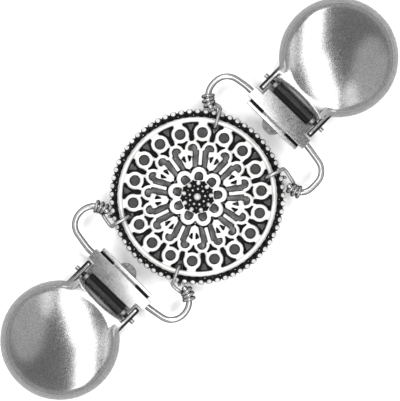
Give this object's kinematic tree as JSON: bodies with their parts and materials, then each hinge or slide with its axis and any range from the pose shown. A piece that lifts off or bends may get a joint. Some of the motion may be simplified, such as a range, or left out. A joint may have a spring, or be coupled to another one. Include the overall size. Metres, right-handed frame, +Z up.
{
  "type": "cardigan clip",
  "caption": "Cardigan clip: a round pierced antique-silver medallion with a beaded rim, wired by bails to a round brushed-silver grip clip at each side.",
  "frame": {"origin": "on the table under the middle of the whole clip", "axes": "+X along the clip towards the right grip clip, +Z up out of the front of the medallion"},
  "size_m": [0.108, 0.0368, 0.0054],
  "materials": {
    "antique_silver": "satin",
    "plated_wire": "polished",
    "plated_stamping": "satin",
    "brushed_silver": "brushed",
    "pin_steel": "satin",
    "back_steel": "satin"
  },
  "bodies": {
    "medallion": {"medallion": "antique_silver"},
    "bail_right": {"bail_right": "plated_wire", "wrap_right_top": "plated_wire", "wrap_right_bottom": "plated_wire"},
    "lever_right": {"lever_right": "plated_stamping"},
    "face_right": {"face_right": "brushed_silver", "pin_right": "pin_steel"},
    "jaw_right": {"jaw_right": "back_steel"},
    "bail_left": {"bail_left": "plated_wire", "wrap_left_top": "plated_wire", "wrap_left_bottom": "plated_wire"},
    "lever_left": {"lever_left": "plated_stamping"},
    "face_left": {"face_left": "brushed_silver", "pin_left": "pin_steel"},
    "jaw_left": {"jaw_left": "back_steel"}
  },
  "joints": [
    {"name": "bail_swing_right", "type": "hinge", "parent": "medallion", "child": "bail_right", "pos_m": [0.0146, 0, 0.00187], "axis": [0, -1, 0], "range_deg": [-8, 12]},
    {"name": "lever_swing_right", "type": "hinge", "parent": "bail_right", "child": "lever_right", "pos_m": [0.0237, -0.0006, 0.00187], "axis": [0, 1, 0], "range_deg": [-90, 90]},
    {"name": "face_flip_right", "type": "hinge", "parent": "lever_right", "child": "face_right", "pos_m": [0.02815, -0.0006, 0.00187], "axis": [0, -1, 0], "range_deg": [0, 90]},
    {"name": "jaw_open_right", "type": "hinge", "parent": "face_right", "child": "jaw_right", "pos_m": [0.02815, -0.0006, 0.00187], "axis": [0, 1, 0], "range_deg": [0, 25]},
    {"name": "bail_swing_left", "type": "hinge", "parent": "medallion", "child": "bail_left", "pos_m": [-0.0146, 0, 0.00187], "axis": [0, 1, 0], "range_deg": [-8, 12]},
    {"name": "lever_swing_left", "type": "hinge", "parent": "bail_left", "child": "lever_left", "pos_m": [-0.0237, -0.0006, 0.00187], "axis": [0, -1, 0], "range_deg": [-90, 90]},
    {"name": "face_flip_left", "type": "hinge", "parent": "lever_left", "child": "face_left", "pos_m": [-0.02815, -0.0006, 0.00187], "axis": [0, 1, 0], "range_deg": [0, 90]},
    {"name": "jaw_open_left", "type": "hinge", "parent": "face_left", "child": "jaw_left", "pos_m": [-0.02815, -0.0006, 0.00187], "axis": [0, -1, 0], "range_deg": [0, 25]}
  ],
  "couplings": [
    {"joint": "jaw_open_right", "follows": "face_flip_right", "ratio": 0.27778},
    {"joint": "jaw_open_left", "follows": "face_flip_left", "ratio": 0.27778}
  ]
}
